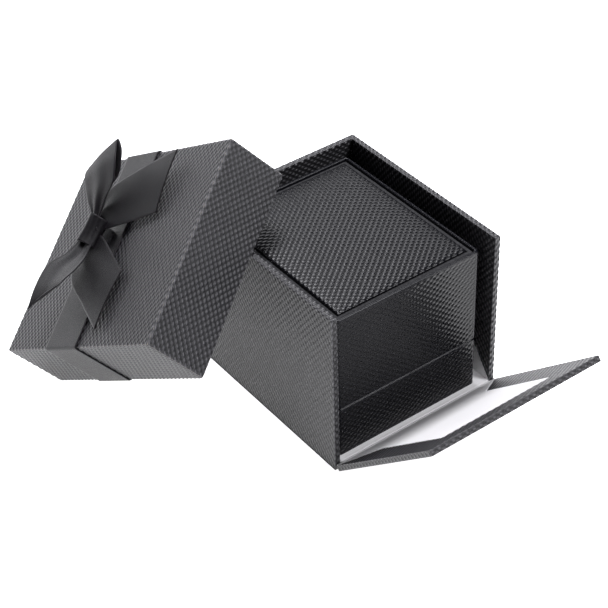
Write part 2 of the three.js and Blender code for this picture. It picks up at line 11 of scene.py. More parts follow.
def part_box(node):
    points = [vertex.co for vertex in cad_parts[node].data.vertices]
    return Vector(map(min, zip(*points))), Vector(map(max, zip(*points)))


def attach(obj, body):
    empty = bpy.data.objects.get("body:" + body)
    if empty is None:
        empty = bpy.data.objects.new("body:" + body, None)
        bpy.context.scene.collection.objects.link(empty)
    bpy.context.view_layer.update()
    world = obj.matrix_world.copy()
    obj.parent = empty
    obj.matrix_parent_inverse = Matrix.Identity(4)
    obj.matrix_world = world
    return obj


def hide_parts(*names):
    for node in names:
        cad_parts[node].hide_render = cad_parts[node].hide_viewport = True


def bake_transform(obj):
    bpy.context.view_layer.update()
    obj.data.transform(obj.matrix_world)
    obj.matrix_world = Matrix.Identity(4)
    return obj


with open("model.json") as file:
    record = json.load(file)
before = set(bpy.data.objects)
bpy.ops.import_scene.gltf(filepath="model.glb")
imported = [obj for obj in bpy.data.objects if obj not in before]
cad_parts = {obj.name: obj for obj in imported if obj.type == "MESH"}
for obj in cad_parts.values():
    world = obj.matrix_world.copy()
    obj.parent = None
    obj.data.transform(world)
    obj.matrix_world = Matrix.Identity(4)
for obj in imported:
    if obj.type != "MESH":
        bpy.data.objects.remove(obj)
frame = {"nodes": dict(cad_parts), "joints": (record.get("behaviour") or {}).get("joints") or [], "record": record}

bl_info = {
    "name": "Jewelry Gift Box",
    "version": (1, 0, 0),
    "blender": (4, 5, 0),
    "location": "View3D > Sidebar > Gift Box",
    "description": "Builds the coverings, linings, ribbon and padding of a jewelry gift box",
    "category": "Object",
}

MM = 0.001

# ---------- sizes in millimetres, angles in degrees ----------

OPEN_END = 5  # how far a box with rounded edges goes on past an end that stays sharp
WELD_GAP = 0.004

# the packer's covering
PACKER_WALL = 2.0
PACKER_EDGE_R = 0.4
PACKER_TURN_IN = 12.0  # down the inside, from the tops of the walls
FRONT_TURN_IN = 10.0  # back along the inside, from the front ends of the walls
TURN_IN_LAP = 0.12  # how far the front turn-ins stand out over those from the top
FRONT_MITRE = 14.0  # how far a front turn-in's lower edge rises
MITRE_START = 3.4  # how far below the top its upper edge starts
MITRE_FALL = 8.6  # how far its upper edge falls

# the flap's covering
FLAP_ANGLE = 42.0
FLAP_EDGE_R = 0.35
FLAP_FOOT = 0.1  # how far from the fold line it starts
FLAP_SET_BACK = 0.06  # how far its inner face is set back from the plane through the fold line

# the lining across the fold
FOLD_THICKNESS = 0.12
FOLD_LIFT = 0.02  # above the floor's lining
FOLD_START = 0.8  # where it starts, behind the front edge of the floor's lining
FOLD_BEND = 0.1  # where it bends, behind the fold line
FOLD_REACH = 1.2  # how far it goes up the flap
FOLD_FLAP_LIFT = (0.02, 0.03)  # backwards and upwards, where it ends on the flap
FOLD_SIDE_GAP = 0.1

# the outer lid's covering
LID_TILT = (-22.5, -38.5, -77.3)
LID_WALL = 1.7
LID_TURN_IN = 11.0
LID_EDGE_R = 0.8
LID_RIM_R = 0.25

# the ribbon band
BAND_LIFT = 0.2  # how far its line lies off the covering
BAND_TURN_IN = 9.0
BAND_CORNER_R = 0.75
BAND_RIM_EASE = 0.3
BAND_RIM_BEND = 0.2
SATIN_WIDTH = 16.0  # from selvedge to selvedge in the weave's own coordinates

# the ring box's covering
RING_WALL = 2.0
RING_CORNER = 1.2
CORNER_MARGIN = 0.2
RING_CHAMFER = 1.15  # at the back of the seam
SEAM_EASE = 0.4  # rounding of the edges at the seam
BEAD_R = 0.22  # the rolled edge round the base's rim
CALM_REACH = 0.9  # the height over which the relief dies away near an upper or lower edge
HINGE_ROOM_HALF = 9.3
HINGE_ROOM_REACH = 1.1  # above and below the pin
HINGE_ROOM_DEPTH = 2  # in front of the pin

# the top of the ring lid, and the padding
BORDER_STRIP = 0.75
BORDER_ROLL = 0.15
BORDER_DROP = 2.0  # how deep its inner edge goes down into the groove
BORDER_EASE = 0.45
BORDER_BEAD_R = 0.42
PANEL_GROOVE = 0.95
PANEL_CROWN = 0.5
PANEL_EDGE = 0.9
SATIN_PAD_CROWN = 2.0
SATIN_PAD_EDGE = 1.2
PAD_COVER = 0.3

# ---------- shares and powers, without a unit ----------

LEATHER_PRESS = 0.5  # of the relief depth, on the leatherette
FLAP_EDGE_PRESS = 0.4  # of the relief depth, on the flap's narrow sides
RELIEF_MEAN = 0.46  # the lattice's height, to which its dashes and rows add
RELIEF_DASH = 0.40
RELIEF_ROW = 0.14
EDGE_SPREAD = 1.6  # how soon a point near a rounded edge counts as the edge
EDGE_FADE = 1.6  # how fast a light press dies away towards an edge
CALM_HOLD = 0.25  # of CALM_REACH, next to the edge, where the relief is calmest
PLEAT_REACH = 0.28  # of the ribbon's length, that its pleats run along
ROLL_POWERS = (0.35, 0.5)  # how square a velvet roll's section is, across and upwards
ROLL_END = 0.05  # of a velvet roll's length, that narrows at each end
ROLL_DIMPLE = 0.015

# ---------- settings that a user would change ----------


class GiftBoxSurface(bpy.types.PropertyGroup):
    relief_u: bpy.props.FloatProperty(
        name="Relief pitch along", description="Width of one cell of the pressed lattice, in millimetres",
        default=2.3, min=0.5)
    relief_v: bpy.props.FloatProperty(
        name="Relief pitch across", description="Height of one cell of the pressed lattice, in millimetres",
        default=1.83, min=0.5)
    relief_depth: bpy.props.FloatProperty(
        name="Relief depth", description="Depth of the pressed lattice, in millimetres", default=0.2, min=0.0)
    mesh_steps: bpy.props.IntVectorProperty(
        name="Mesh steps", description="Mesh squares to one cell of the lattice, along and across", size=2,
        default=(5, 6), min=1)
    paper_colour: bpy.props.FloatVectorProperty(
        name="Paper colour", description="Charcoal covering paper", subtype="COLOR", size=3,
        default=(0.046, 0.045, 0.049), min=0, max=1)
    leather_colour: bpy.props.FloatVectorProperty(
        name="Leatherette colour", description="Black covering of the ring box", subtype="COLOR", size=3,
        default=(0.005, 0.005, 0.0072), min=0, max=1)
    lining_colour: bpy.props.FloatVectorProperty(
        name="Lining colour", description="White paper inside the boxes", subtype="COLOR", size=3,
        default=(0.88, 0.87, 0.87), min=0, max=1)


class GiftBoxRibbon(bpy.types.PropertyGroup):
    width: bpy.props.FloatProperty(
        name="Ribbon width", description="Width of the satin ribbon", default=0.016, unit="LENGTH")
    thickness: bpy.props.FloatProperty(
        name="Ribbon thickness", description="Thickness of the satin ribbon", default=0.0003, unit="LENGTH")
    satin_colour: bpy.props.FloatVectorProperty(
        name="Satin colour", description="Colour of the ribbon and bow", subtype="COLOR", size=3,
        default=(0.012, 0.0108, 0.0132), min=0, max=1)


class GiftBoxStage(bpy.types.PropertyGroup):
    azimuth: bpy.props.FloatProperty(
        name="Camera azimuth", description="Degrees round the box from the front", default=-35.344)
    elevation: bpy.props.FloatProperty(
        name="Camera elevation", description="Degrees above the table", default=38.858)
    roll: bpy.props.FloatProperty(name="Camera roll", description="Degrees about the view", default=-2.207)
    distance: bpy.props.FloatProperty(
        name="Camera distance", description="From the target", default=0.537705, unit="LENGTH")
    lens: bpy.props.FloatProperty(name="Lens", description="Focal length in millimetres", default=101.65)
    target: bpy.props.FloatVectorProperty(
        name="Target", description="Point that the camera looks at", size=3,
        default=(0.007991, 0.031606, 0.0), unit="LENGTH")


# ---------- local frames of the turned bodies ----------


def turned_box(node, turn):
    """Lowest and highest corner of a CAD node along the axes of a turned body, in millimetres."""
    points = np.array([v.co for v in frame["nodes"][node].data.vertices], float) @ np.array(turn) / MM
    return points.min(0), points.max(0)


def lid_frame():
    """Matrix from the lid's own millimetres to the row frame, and the lid's size.

    The origin of those millimetres is the centre of the rim, and the lid's top is up.
    """
    x, y, z = (math.radians(a) for a in LID_TILT)
    turn = Matrix.Rotation(x, 3, "X") @ Matrix.Rotation(y, 3, "Y") @ Matrix.Rotation(z, 3, "Z")
    low, high = turned_box("lid_wrap", turn)
    size = high - low
    origin = Vector(((low[0] + high[0]) / 2, (low[1] + high[1]) / 2, low[2]))
    return turn.to_4x4() @ Matrix.Scale(MM, 4) @ Matrix.Translation(origin), size


def flap_frame():
    """Matrix from the shut flap's millimetres, about its fold line, to the row frame, and its size."""
    turn = Matrix.Rotation(math.radians(90.0 - FLAP_ANGLE), 3, "X")
    low, high = turned_box("flap_wrap", turn)
    joint = next(j for j in frame["joints"] if j["name"] == "flap_fold")
    place = Matrix.Translation(Vector(joint["pos_m"])) @ turn.to_4x4() @ Matrix.Scale(MM, 4)
    return place, high - low


def row_box(*nodes):
    """Lowest and highest corner of CAD nodes in millimetres."""
    boxes = [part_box(n) for n in nodes]
    low = np.min([np.array(b[0]) for b in boxes], 0) / MM
    high = np.max([np.array(b[1]) for b in boxes], 0) / MM
    return low, high


# ---------- mesh helpers ----------


def alone(obj):
    bpy.ops.object.select_all(action="DESELECT")
    obj.select_set(True)
    bpy.context.view_layer.objects.active = obj


def points_of(obj):
    flat = np.zeros(len(obj.data.vertices) * 3)
    obj.data.vertices.foreach_get("co", flat)
    return flat.reshape(-1, 3)


def set_points(obj, points):
    obj.data.vertices.foreach_set("co", np.ascontiguousarray(points, np.float32).ravel())
    obj.data.update()


def set_uv(obj, uv_of_point):
    """Writes one UV pair per point, in millimetres on the paper."""
    layer = obj.data.uv_layers.active or obj.data.uv_layers.new(name="UVMap")
    corner = np.zeros(len(obj.data.loops), np.int32)
    obj.data.loops.foreach_get("vertex_index", corner)
    layer.data.foreach_set("uv", np.ascontiguousarray(uv_of_point[corner], np.float32).ravel())


def set_edge(obj, share):
    """Stores how much of a folded or rolled edge each point is, from 0 to 1."""
    layer = obj.data.attributes.new("edge", "FLOAT", "POINT")
    layer.data.foreach_set("value", np.broadcast_to(share, len(obj.data.vertices)).astype(np.float32))


def grid(columns, rows):
    """A new grid primitive with its points as two arrays from 0 to 1."""
    bpy.ops.object.select_all(action="DESELECT")
    bpy.ops.mesh.primitive_grid_add(x_subdivisions=columns, y_subdivisions=rows, size=2)
    obj = bpy.context.object
    points = points_of(obj)
    return obj, (points[:, 0] + 1) / 2, (points[:, 1] + 1) / 2


def joined(name, parts, place=None):
    """Joins the parts into one named piece, welds their seams and sets it in the row frame."""
    bpy.ops.object.select_all(action="DESELECT")
    for part in parts:
        part.select_set(True)
    bpy.context.view_layer.objects.active = parts[0]
    if len(parts) > 1:
        bpy.ops.object.join()
    obj = bpy.context.object
    obj.name = name
    obj.data.name = name
    bpy.ops.object.mode_set(mode="EDIT")
    bpy.ops.mesh.select_all(action="SELECT")
    bpy.ops.mesh.remove_doubles(threshold=WELD_GAP)
    bpy.ops.object.mode_set(mode="OBJECT")
    obj.data.transform(place if place is not None else Matrix.Scale(MM, 4))
    bpy.ops.object.shade_smooth()
    return obj


def thicken(obj, thickness, offset=-1.0):
    alone(obj)
    modifier = obj.modifiers.new("Paper", "SOLIDIFY")
    modifier.thickness = thickness
    modifier.offset = offset
    bpy.ops.object.modifier_apply(modifier=modifier.name)
    return obj


def relief(u, v, style):
    """Height from 0 to 1 of the pressed lattice at a point of the paper, in millimetres."""
    along = 2 * math.pi * u / style.relief_u
    across = 2 * math.pi * v / style.relief_v
    dash = np.cos(along) * np.cos(across)
    return np.clip(RELIEF_MEAN + RELIEF_DASH * dash + RELIEF_ROW * np.cos(2 * across), 0, 1)


def covered_face(axis, side, ranges, box, radius, grain, style, shape=None, press=1.0, calm=None):
    """One face of a covered box as a grid with the pressed relief.

    axis and side give the face, ranges the stretch of the other two axes, box the low and high corner
    that the rounded edges follow, and grain the axis that the long way of the lattice runs along. shape
    moves the flat points first, press is the share of the relief depth, and calm gives from 0 to 1 how
    much of an edge a point counts as.
    """
    across = [k for k in range(3) if k != axis]
    cross = next(k for k in across if k != grain)
    pitch = {grain: style.relief_u / style.mesh_steps[0], cross: style.relief_v / style.mesh_steps[1]}
    lengths = [ranges[k][1] - ranges[k][0] for k in across]
    cells = [max(2, round(length / pitch[k])) for k, length in zip(across, lengths)]
    obj, s, t = grid(cells[0], cells[1])
    points = np.zeros((len(s), 3))
    points[:, across[0]] = ranges[across[0]][0] + s * lengths[0]
    points[:, across[1]] = ranges[across[1]][0] + t * lengths[1]
    points[:, axis] = box[1][axis] if side > 0 else box[0][axis]
    if shape is not None:
        points = shape(points, s, t)
    uv = points[:, [grain, cross]]
    core = np.clip(points, np.array(box[0]) + radius, np.array(box[1]) - radius)
    out = points - core
    length = np.linalg.norm(out, axis=1, keepdims=True)
    normal = out / np.maximum(length, 1e-9)
    height = relief(uv[:, 0], uv[:, 1], style)
    edge = np.clip(EDGE_SPREAD * np.sort(np.abs(out), axis=1)[:, 1] / radius, 0, 1)
    if calm is not None:
        edge = np.maximum(edge, calm(points))
    depth = press * style.relief_depth * (1 - EDGE_FADE * (1 - press) * edge)
    points = core + normal * (radius - depth * (1 - height))[:, None]
    set_points(obj, points)
    set_uv(obj, uv)
    set_edge(obj, edge)
    if (-side if axis == 1 else side) < 0:
        obj.data.flip_normals()
    return obj


def ride_as(obj, body, slot, material, *nodes):
    obj.data.materials.clear()
    obj.data.materials.append(material)
    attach(obj, body)
    if nodes:
        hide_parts(*nodes)
    return obj


# ---------- shader helpers ----------


class Value:
    """A shader socket with arithmetic: an expression adds its Math nodes."""

    def __init__(self, tree, socket):
        self.tree = tree
        self.socket = socket

    def _math(self, operation, *values):
        node = self.tree.nodes.new("ShaderNodeMath")
        node.operation = operation
        for slot, value in zip(node.inputs, values):
            if isinstance(value, Value):
                self.tree.links.new(value.socket, slot)
            else:
                slot.default_value = value
        return Value(self.tree, node.outputs[0])

    def __add__(self, other):
        return self._math("ADD", self, other)

    def __radd__(self, other):
        return self._math("ADD", other, self)

    def __sub__(self, other):
        return self._math("SUBTRACT", self, other)

    def __rsub__(self, other):
        return self._math("SUBTRACT", other, self)

    def __mul__(self, other):
        return self._math("MULTIPLY", self, other)

    def __rmul__(self, other):
        return self._math("MULTIPLY", other, self)

    def __truediv__(self, other):
        return self._math("DIVIDE", self, other)

    def cos(self):
        return self._math("COSINE", self)

    def power(self, exponent):
        return self._math("POWER", self, exponent)

    def clamped(self):
        return self._math("MINIMUM", self._math("MAXIMUM", self, 0.0), 1.0)


class Finish:
    """A material being built round one Principled BSDF."""

    def __init__(self, name, roughness, **sockets):
        self.material = bpy.data.materials.new(name)
        self.material.use_nodes = True
        self.tree = self.material.node_tree
        self.shader = self.tree.nodes["Principled BSDF"]
        self.shader.inputs["Roughness"].default_value = roughness
        for socket, value in sockets.items():
            self.shader.inputs[socket.replace("_", " ")].default_value = value

    def node(self, kind, settings=None, **inputs):
        made = self.tree.nodes.new(kind)
        for key, value in (settings or {}).items():
            setattr(made, key, value)
        for key, value in inputs.items():
            slot = made.inputs[key.replace("_", " ")]
            if isinstance(value, Value):
                self.tree.links.new(value.socket, slot)
            else:
                slot.default_value = value
        return made

    def out(self, node, name=0):
        return Value(self.tree, node.outputs[name])

    def uv(self):
        """The paper's own coordinates, in millimetres."""
        made = self.node("ShaderNodeUVMap", {"uv_map": "UVMap"})
        parts = self.node("ShaderNodeSeparateXYZ", Vector=self.out(made, "UV"))
        return self.out(parts, "X"), self.out(parts, "Y")

    def attribute(self, name):
        return self.out(self.node("ShaderNodeAttribute", {"attribute_name": name}), "Fac")

    def place(self):
        return self.out(self.node("ShaderNodeTexCoord"), "Object")

    def noise(self, scale, detail=3.0, rough=0.55):
        made = self.node("ShaderNodeTexNoise", Vector=self.place(), Scale=scale, Detail=detail,
                         Roughness=rough)
        return self.out(made, "Fac")

    def colour(self, factor, low, high):
        mix = self.node("ShaderNodeMix", {"data_type": "RGBA"})
        self.tree.links.new(factor.socket, mix.inputs[0])
        mix.inputs[6].default_value = (*low, 1)
        mix.inputs[7].default_value = (*high, 1)
        self.tree.links.new(mix.outputs[2], self.shader.inputs["Base Color"])

    def feed(self, socket, value):
        self.tree.links.new(value.socket, self.shader.inputs[socket])

    def bump(self, height, strength, distance):
        made = self.node("ShaderNodeBump", Height=height, Strength=strength, Distance=distance)
        self.tree.links.new(made.outputs["Normal"], self.shader.inputs["Normal"])


def scaled(colour, factor):
    return tuple(c * factor for c in colour)


def lattice(finish, style):
    """The pressed lattice as a value from 0 in the pits to 1 on the dashes."""
    u, v = finish.uv()
    along = u * (2 * math.pi / style.relief_u)
    across = v * (2 * math.pi / style.relief_v)
    height = RELIEF_MEAN + RELIEF_DASH * along.cos() * across.cos() + RELIEF_ROW * (across * 2.0).cos()
    return height.clamped()


def embossed_paper(style):
    finish = Finish("embossed paper", 0.36, Specular_IOR_Level=0.42)
    height = lattice(finish, style)
    grain = finish.noise(5200.0, 4.0)
    drift = finish.noise(60.0, 2.0)
    # painted highlight: the folded and rolled edges are lightened, more on the dashes, to stand for light caught
    # along the folds
    painted_fold_highlight = finish.attribute("edge") * (0.35 + height * 0.5)
    # the tone follows the relief height: the pits are darkened as painted shade and the dashes lightened as
    # painted highlight; drift and grain are the paper's own tone
    tone = (height.power(2.0) * 0.72 + drift * 0.12 + grain * 0.1 + painted_fold_highlight).clamped()
    finish.colour(tone, scaled(style.paper_colour, 0.04), scaled(style.paper_colour, 2.2))
    finish.feed("Roughness", 0.38 - height * 0.12 + grain * 0.06)
    finish.bump(height + grain * 0.10, 0.9, 0.0003)
    return finish.material


def plain_paper(style):
    finish = Finish("pressed paper edge", 0.5)
    grain = finish.noise(3000.0, 4.0)
    finish.colour(grain, scaled(style.paper_colour, 0.5), scaled(style.paper_colour, 1.1))
    finish.bump(grain, 0.4, 0.0001)
    return finish.material


def leatherette(style):
    finish = Finish("black leatherette", 0.28, Specular_IOR_Level=0.26)
    edge = finish.attribute("edge")
    height = lattice(finish, style) * (1 - edge) + edge * 0.8
    grain = finish.noise(4200.0, 5.0)
    drift = finish.noise(45.0, 2.0)
    # the tone follows the relief height: the pits are darkened as painted shade and the dashes lightened as
    # painted highlight; on the rolled edges the relief gives way to an even height of 0.8, so they take an even,
    # lighter tone; drift and grain are the leatherette's own tone
    tone = (height.power(1.4) * 0.8 + drift * 0.12 + grain * 0.1).clamped()
    finish.colour(tone, scaled(style.leather_colour, 0.15), scaled(style.leather_colour, 1.5))
    finish.feed("Roughness", 0.28 - height * 0.10 + grain * 0.06)
    finish.bump(height + grain * 0.12, 0.7, 0.00016)
    return finish.material


def satin(settings):
    finish = Finish("charcoal satin", 0.36, Specular_IOR_Level=0.18, Sheen_Weight=0.05, Sheen_Roughness=0.35)
    u, v = finish.uv()
    weft = (v * (2 * math.pi / 0.16)).cos()
    warp = (u * (2 * math.pi / 0.22)).cos()
    slub = finish.noise(900.0, 3.0)
    half = SATIN_WIDTH / 2
    selvedge = ((u - half) / half).power(2.0).power(14.0)
    tone = (0.45 + weft * 0.10 + warp * 0.08 + (slub - 0.5) * 0.8 + selvedge * 0.5).clamped()
    finish.colour(tone, scaled(settings.satin_colour, 0.2), scaled(settings.satin_colour, 1.15))
    finish.feed("Roughness", 0.32 + slub * 0.12 - weft * 0.03)
    finish.bump(weft * 0.5 + warp * 0.4 + slub * 0.8 + selvedge * 2.0, 0.3, 0.00006)
    return finish.material


def lining_paper(style):
    finish = Finish("white lining paper", 0.82, Specular_IOR_Level=0.3)
    fibre = finish.noise(1800.0, 6.0, 0.7)
    cloud = finish.noise(40.0, 3.0)
    tone = (fibre * 0.4 + cloud * 0.6).clamped()
    finish.colour(tone, scaled(style.lining_colour, 0.94), scaled(style.lining_colour, 1.05))
    finish.bump(fibre + cloud * 2.0, 0.25, 0.00008)
    return finish.material


def greyboard():
    finish = Finish("greyboard", 0.9)
    fleck = finish.noise(2600.0, 6.0, 0.75)
    finish.colour(fleck, (0.20, 0.185, 0.16), (0.42, 0.39, 0.35))
    finish.bump(fleck, 0.4, 0.0001)
    return finish.material


def moulded_shell():
    finish = Finish("moulded shell", 0.55)
    spark = finish.noise(3800.0, 3.0)
    finish.colour(spark, (0.014, 0.014, 0.016), (0.030, 0.030, 0.033))
    finish.feed("Roughness", 0.48 + spark * 0.15)
    finish.bump(spark, 0.25, 0.00005)
    return finish.material


def velvet():
    finish = Finish("black velvet", 0.95, Sheen_Weight=0.6, Sheen_Roughness=0.4)
    pile = finish.noise(3400.0, 5.0, 0.7)
    sweep = finish.noise(120.0, 2.0)
    finish.colour((pile * 0.6 + sweep * 0.4).clamped(), (0.006, 0.006, 0.007), (0.035, 0.034, 0.038))
    finish.bump(pile, 0.6, 0.00025)
    return finish.material


def open_foam():
    finish = Finish("open foam", 0.95)
    cell = finish.out(finish.node("ShaderNodeTexVoronoi", Vector=finish.place(), Scale=1500.0), "Distance")
    finish.colour(cell.clamped(), (0.006, 0.006, 0.007), (0.035, 0.035, 0.038))
    finish.bump(cell, 0.5, 0.0002)
    return finish.material


def nickel():
    finish = Finish("nickel plate", 0.28, Metallic=1.0)
    brushed = finish.noise(2200.0, 4.0)
    finish.colour(brushed, (0.50, 0.50, 0.52), (0.68, 0.68, 0.70))
    finish.feed("Roughness", 0.22 + brushed * 0.16)
    return finish.material


# ---------- packer ----------


def packer_walls(style):
    low, high = row_box("packer_wrap")
    radius = PACKER_EDGE_R
    foot = low[2] - OPEN_END
    upright = (low[2], high[2])
    ledge = high[2] - PACKER_TURN_IN
    floor = row_box("floor_lining")[1][2]
    parts = []
    for side in (-1, 1):
        x = (low[0], low[0] + PACKER_WALL) if side < 0 else (high[0] - PACKER_WALL, high[0])
        box = ((x[0], low[1], foot), (x[1], high[1], high[2]))

        def mitre(p, s, t):
            bottom = floor + FRONT_MITRE * s
            top = high[2] - MITRE_START - MITRE_FALL * s
            p[:, 2] = bottom + (top - bottom) * t
            return p

        inner_y = (low[1], high[1] - PACKER_WALL)
        parts.append(covered_face(0, side, {1: (low[1], high[1]), 2: upright}, box, radius, 2, style))
        parts.append(covered_face(2, 1, {0: x, 1: inner_y}, box, radius, 0, style))
        parts.append(covered_face(1, -1, {0: x, 2: upright}, box, radius, 2, style))
        parts.append(covered_face(0, -side, {1: inner_y, 2: (ledge, high[2])}, box, radius, 2, style))
        front = {1: (low[1], low[1] + FRONT_TURN_IN), 2: (floor, ledge)}
        over = ((x[0] - (TURN_IN_LAP if side > 0 else 0), low[1], foot),
                (x[1] + (TURN_IN_LAP if side < 0 else 0), high[1], high[2]))
        parts.append(covered_face(0, -side, front, over, radius, 2, style, shape=mitre))
    back = high[1] - PACKER_WALL
    box = ((low[0], back, foot), tuple(high))
    parts.append(covered_face(1, 1, {0: (low[0], high[0]), 2: upright}, box, radius, 0, style))
    parts.append(covered_face(2, 1, {0: (low[0], high[0]), 1: (back, high[1])}, box, radius, 0, style))
    inside = {0: (low[0] + PACKER_WALL, high[0] - PACKER_WALL), 2: (ledge, high[2])}
    parts.append(covered_face(1, -1, inside, box, radius, 0, style))
    return joined("packer_covering", parts)


# ---------- flap ----------


def flap_covering(style):
    place, size = flap_frame()
    half, thick = size[0] / 2, size[1]
    box = ((-half, -thick, FLAP_FOOT), (half, -FLAP_SET_BACK, FLAP_FOOT + size[2]))
    ranges = {0: (box[0][0], box[1][0]), 1: (box[0][1], box[1][1]), 2: (box[0][2], box[1][2])}
    faces = ((1, -1, 0), (1, 1, 0), (0, 1, 1), (0, -1, 1), (2, 1, 0), (2, -1, 0))
    parts = [covered_face(axis, side, ranges, box, FLAP_EDGE_R, grain, style,
                          press=1.0 if axis == 1 else FLAP_EDGE_PRESS)
             for axis, side, grain in faces]
    return joined("flap_covering", parts, place)


def fold_strip(name, path, half, thickness):
    """A strip of paper across the fold line: path is (y, z) pairs in millimetres."""
    obj, s, t = grid(60, len(path) - 1)
    knots = np.linspace(0, 1, len(path))
    line = np.array(path)
    points = np.stack([
        (s * 2 - 1) * half,
        np.interp(t, knots, line[:, 0]),
        np.interp(t, knots, line[:, 1]),
    ], 1)
    set_points(obj, points)
    set_uv(obj, np.stack([points[:, 0], t * 5], 1))
    made = joined(name, [obj])
    return thicken(made, thickness * MM, 0.0)


# ---------- outer lid ----------


def lid_covering(style):
    place, size = lid_frame()
    half = (size[0] / 2, size[1] / 2)
    h = size[2]
    box = ((-half[0], -half[1], -OPEN_END), (half[0], half[1], h))
    around = {0: (-half[0], half[0]), 1: (-half[1], half[1]), 2: (0, h)}
    parts = [covered_face(2, 1, around, box, LID_EDGE_R, 1, style)]
    for axis in (0, 1):
        other = 1 - axis
        grain = 1 if axis == 0 else 2
        for side in (-1, 1):
            parts.append(covered_face(axis, side, around, box, LID_EDGE_R, grain, style))
            outer = side * half[axis]
            stretch = tuple(sorted((outer, outer - side * LID_WALL)))
            wall = [[-half[0], -half[1], 0], [half[0], half[1], h]]
            wall[0][axis], wall[1][axis] = stretch
            rim = {axis: stretch, other: around[other]}
            parts.append(covered_face(2, -1, rim, wall, LID_RIM_R, 1, style))
            inside = {other: (LID_WALL - half[other], half[other] - LID_WALL), 2: (0, LID_TURN_IN)}
            parts.append(covered_face(axis, -side, inside, wall, LID_RIM_R, grain, style))
    return joined("lid_covering", parts, place)


# ---------- ribbon and bow ----------


def smooth_line(stations, samples):
    """A Catmull-Rom line through the stations."""
    knots = np.array(stations, float)
    padded = np.vstack([2 * knots[0] - knots[1], knots, 2 * knots[-1] - knots[-2]])
    spans = len(knots) - 1
    at = np.linspace(0, spans, samples)
    k = np.minimum(at.astype(int), spans - 1)
    t = (at - k)[:, None]
    p0, p1, p2, p3 = padded[k], padded[k + 1], padded[k + 2], padded[k + 3]
    return 0.5 * (2 * p1 + (p2 - p0) * t + (2 * p0 - 5 * p1 + 4 * p2 - p3) * t**2
                  + (3 * p1 - p0 - 3 * p2 + p3) * t**3)


def ribbon_strip(name, left, right, place, thickness, samples=90, across=28, crown=0.0, pleats=0.0):
    """A ribbon between two edge lines, bowed by crown and gathered into pleats at its first end."""
    l, r = smooth_line(left, samples), smooth_line(right, samples)
    obj, s, t = grid(across, samples - 1)
    index = np.rint(t * (samples - 1)).astype(int)
    chord = r - l
    along = np.gradient((l + r) / 2, axis=0)
    normal = np.cross(chord, along)
    normal /= np.maximum(np.linalg.norm(normal, axis=1, keepdims=True), 1e-6)
    points = l[index] + chord[index] * s[:, None]
    bow = crown * (1 - (2 * s - 1) ** 2)
    fade = np.exp(-((t / PLEAT_REACH) ** 2))
    bow = bow + pleats * fade * np.cos(s * 4 * math.pi)
    points = points + normal[index] * bow[:, None]
    travelled = np.concatenate([[0], np.cumsum(np.linalg.norm(np.diff((l + r) / 2, axis=0), axis=1))])
    set_points(obj, points)
    set_uv(obj, np.stack([s * SATIN_WIDTH, travelled[index]], 1))
    made = joined(name, [obj], place)
    thicken(made, thickness, 0.0)
    alone(made)
    bpy.ops.object.shade_smooth()
    return made, travelled[-1]


def band_path(size, wall, lift, inside):
    """Half of the band's line in (y, z): from inside the rim, up the side and in over the top."""
    b, h = size[1] / 2, size[2]
    arc = [(math.sin(a), math.cos(a)) for a in np.linspace(math.pi / 2, 0, 7)]
    inner, outer = b - wall - lift, b + lift
    corner, ease = BAND_CORNER_R, BAND_RIM_EASE
    half = [(inner, inside), (inner, -lift + BAND_RIM_BEND), (inner + ease, -lift)]
    half += [(outer - ease, -lift), (outer, ease - lift), (outer, h * 0.25), (outer, h * 0.6)]
    half += [(outer - corner + corner * y, h + lift - corner + corner * z) for y, z in arc]
    half += [(b * 0.8, h + lift), (b * 0.5, h + lift), (b * 0.2, h + lift)]
    return half


def ribbon_band(settings):
    place, size = lid_frame()
    half = band_path(size, LID_WALL, BAND_LIFT, BAND_TURN_IN)
    line = half + [(-y, z) for y, z in reversed(half)]
    line = np.array(line)
    steps = np.concatenate([[0], np.cumsum(np.linalg.norm(np.diff(line, axis=0), axis=1))])
    dense = np.linspace(0, steps[-1], 320)
    dense = np.unique(np.concatenate([dense, steps]))
    y = np.interp(dense, steps, line[:, 0])
    z = np.interp(dense, steps, line[:, 1])
    width = settings.width / MM
    obj, s, t = grid(26, len(dense) - 1)
    index = np.rint(t * (len(dense) - 1)).astype(int)
    edge = 0.05 * np.cos(2 * math.pi * s)
    points = np.stack([BOW_SEAT[0] + (s - 0.5) * width, y[index], z[index]], 1)
    points[:, 2] += np.where(z[index] > size[2], edge * 0.5, 0)
    set_points(obj, points)
    set_uv(obj, np.stack([s * width, dense[index]], 1))
    made = joined("ribbon_band_satin", [obj], place)
    thicken(made, settings.thickness, 0.0)
    return made, steps[-1]


BOW_SEAT = (-6.2, 3.2)  # on the lid's top, from its centre

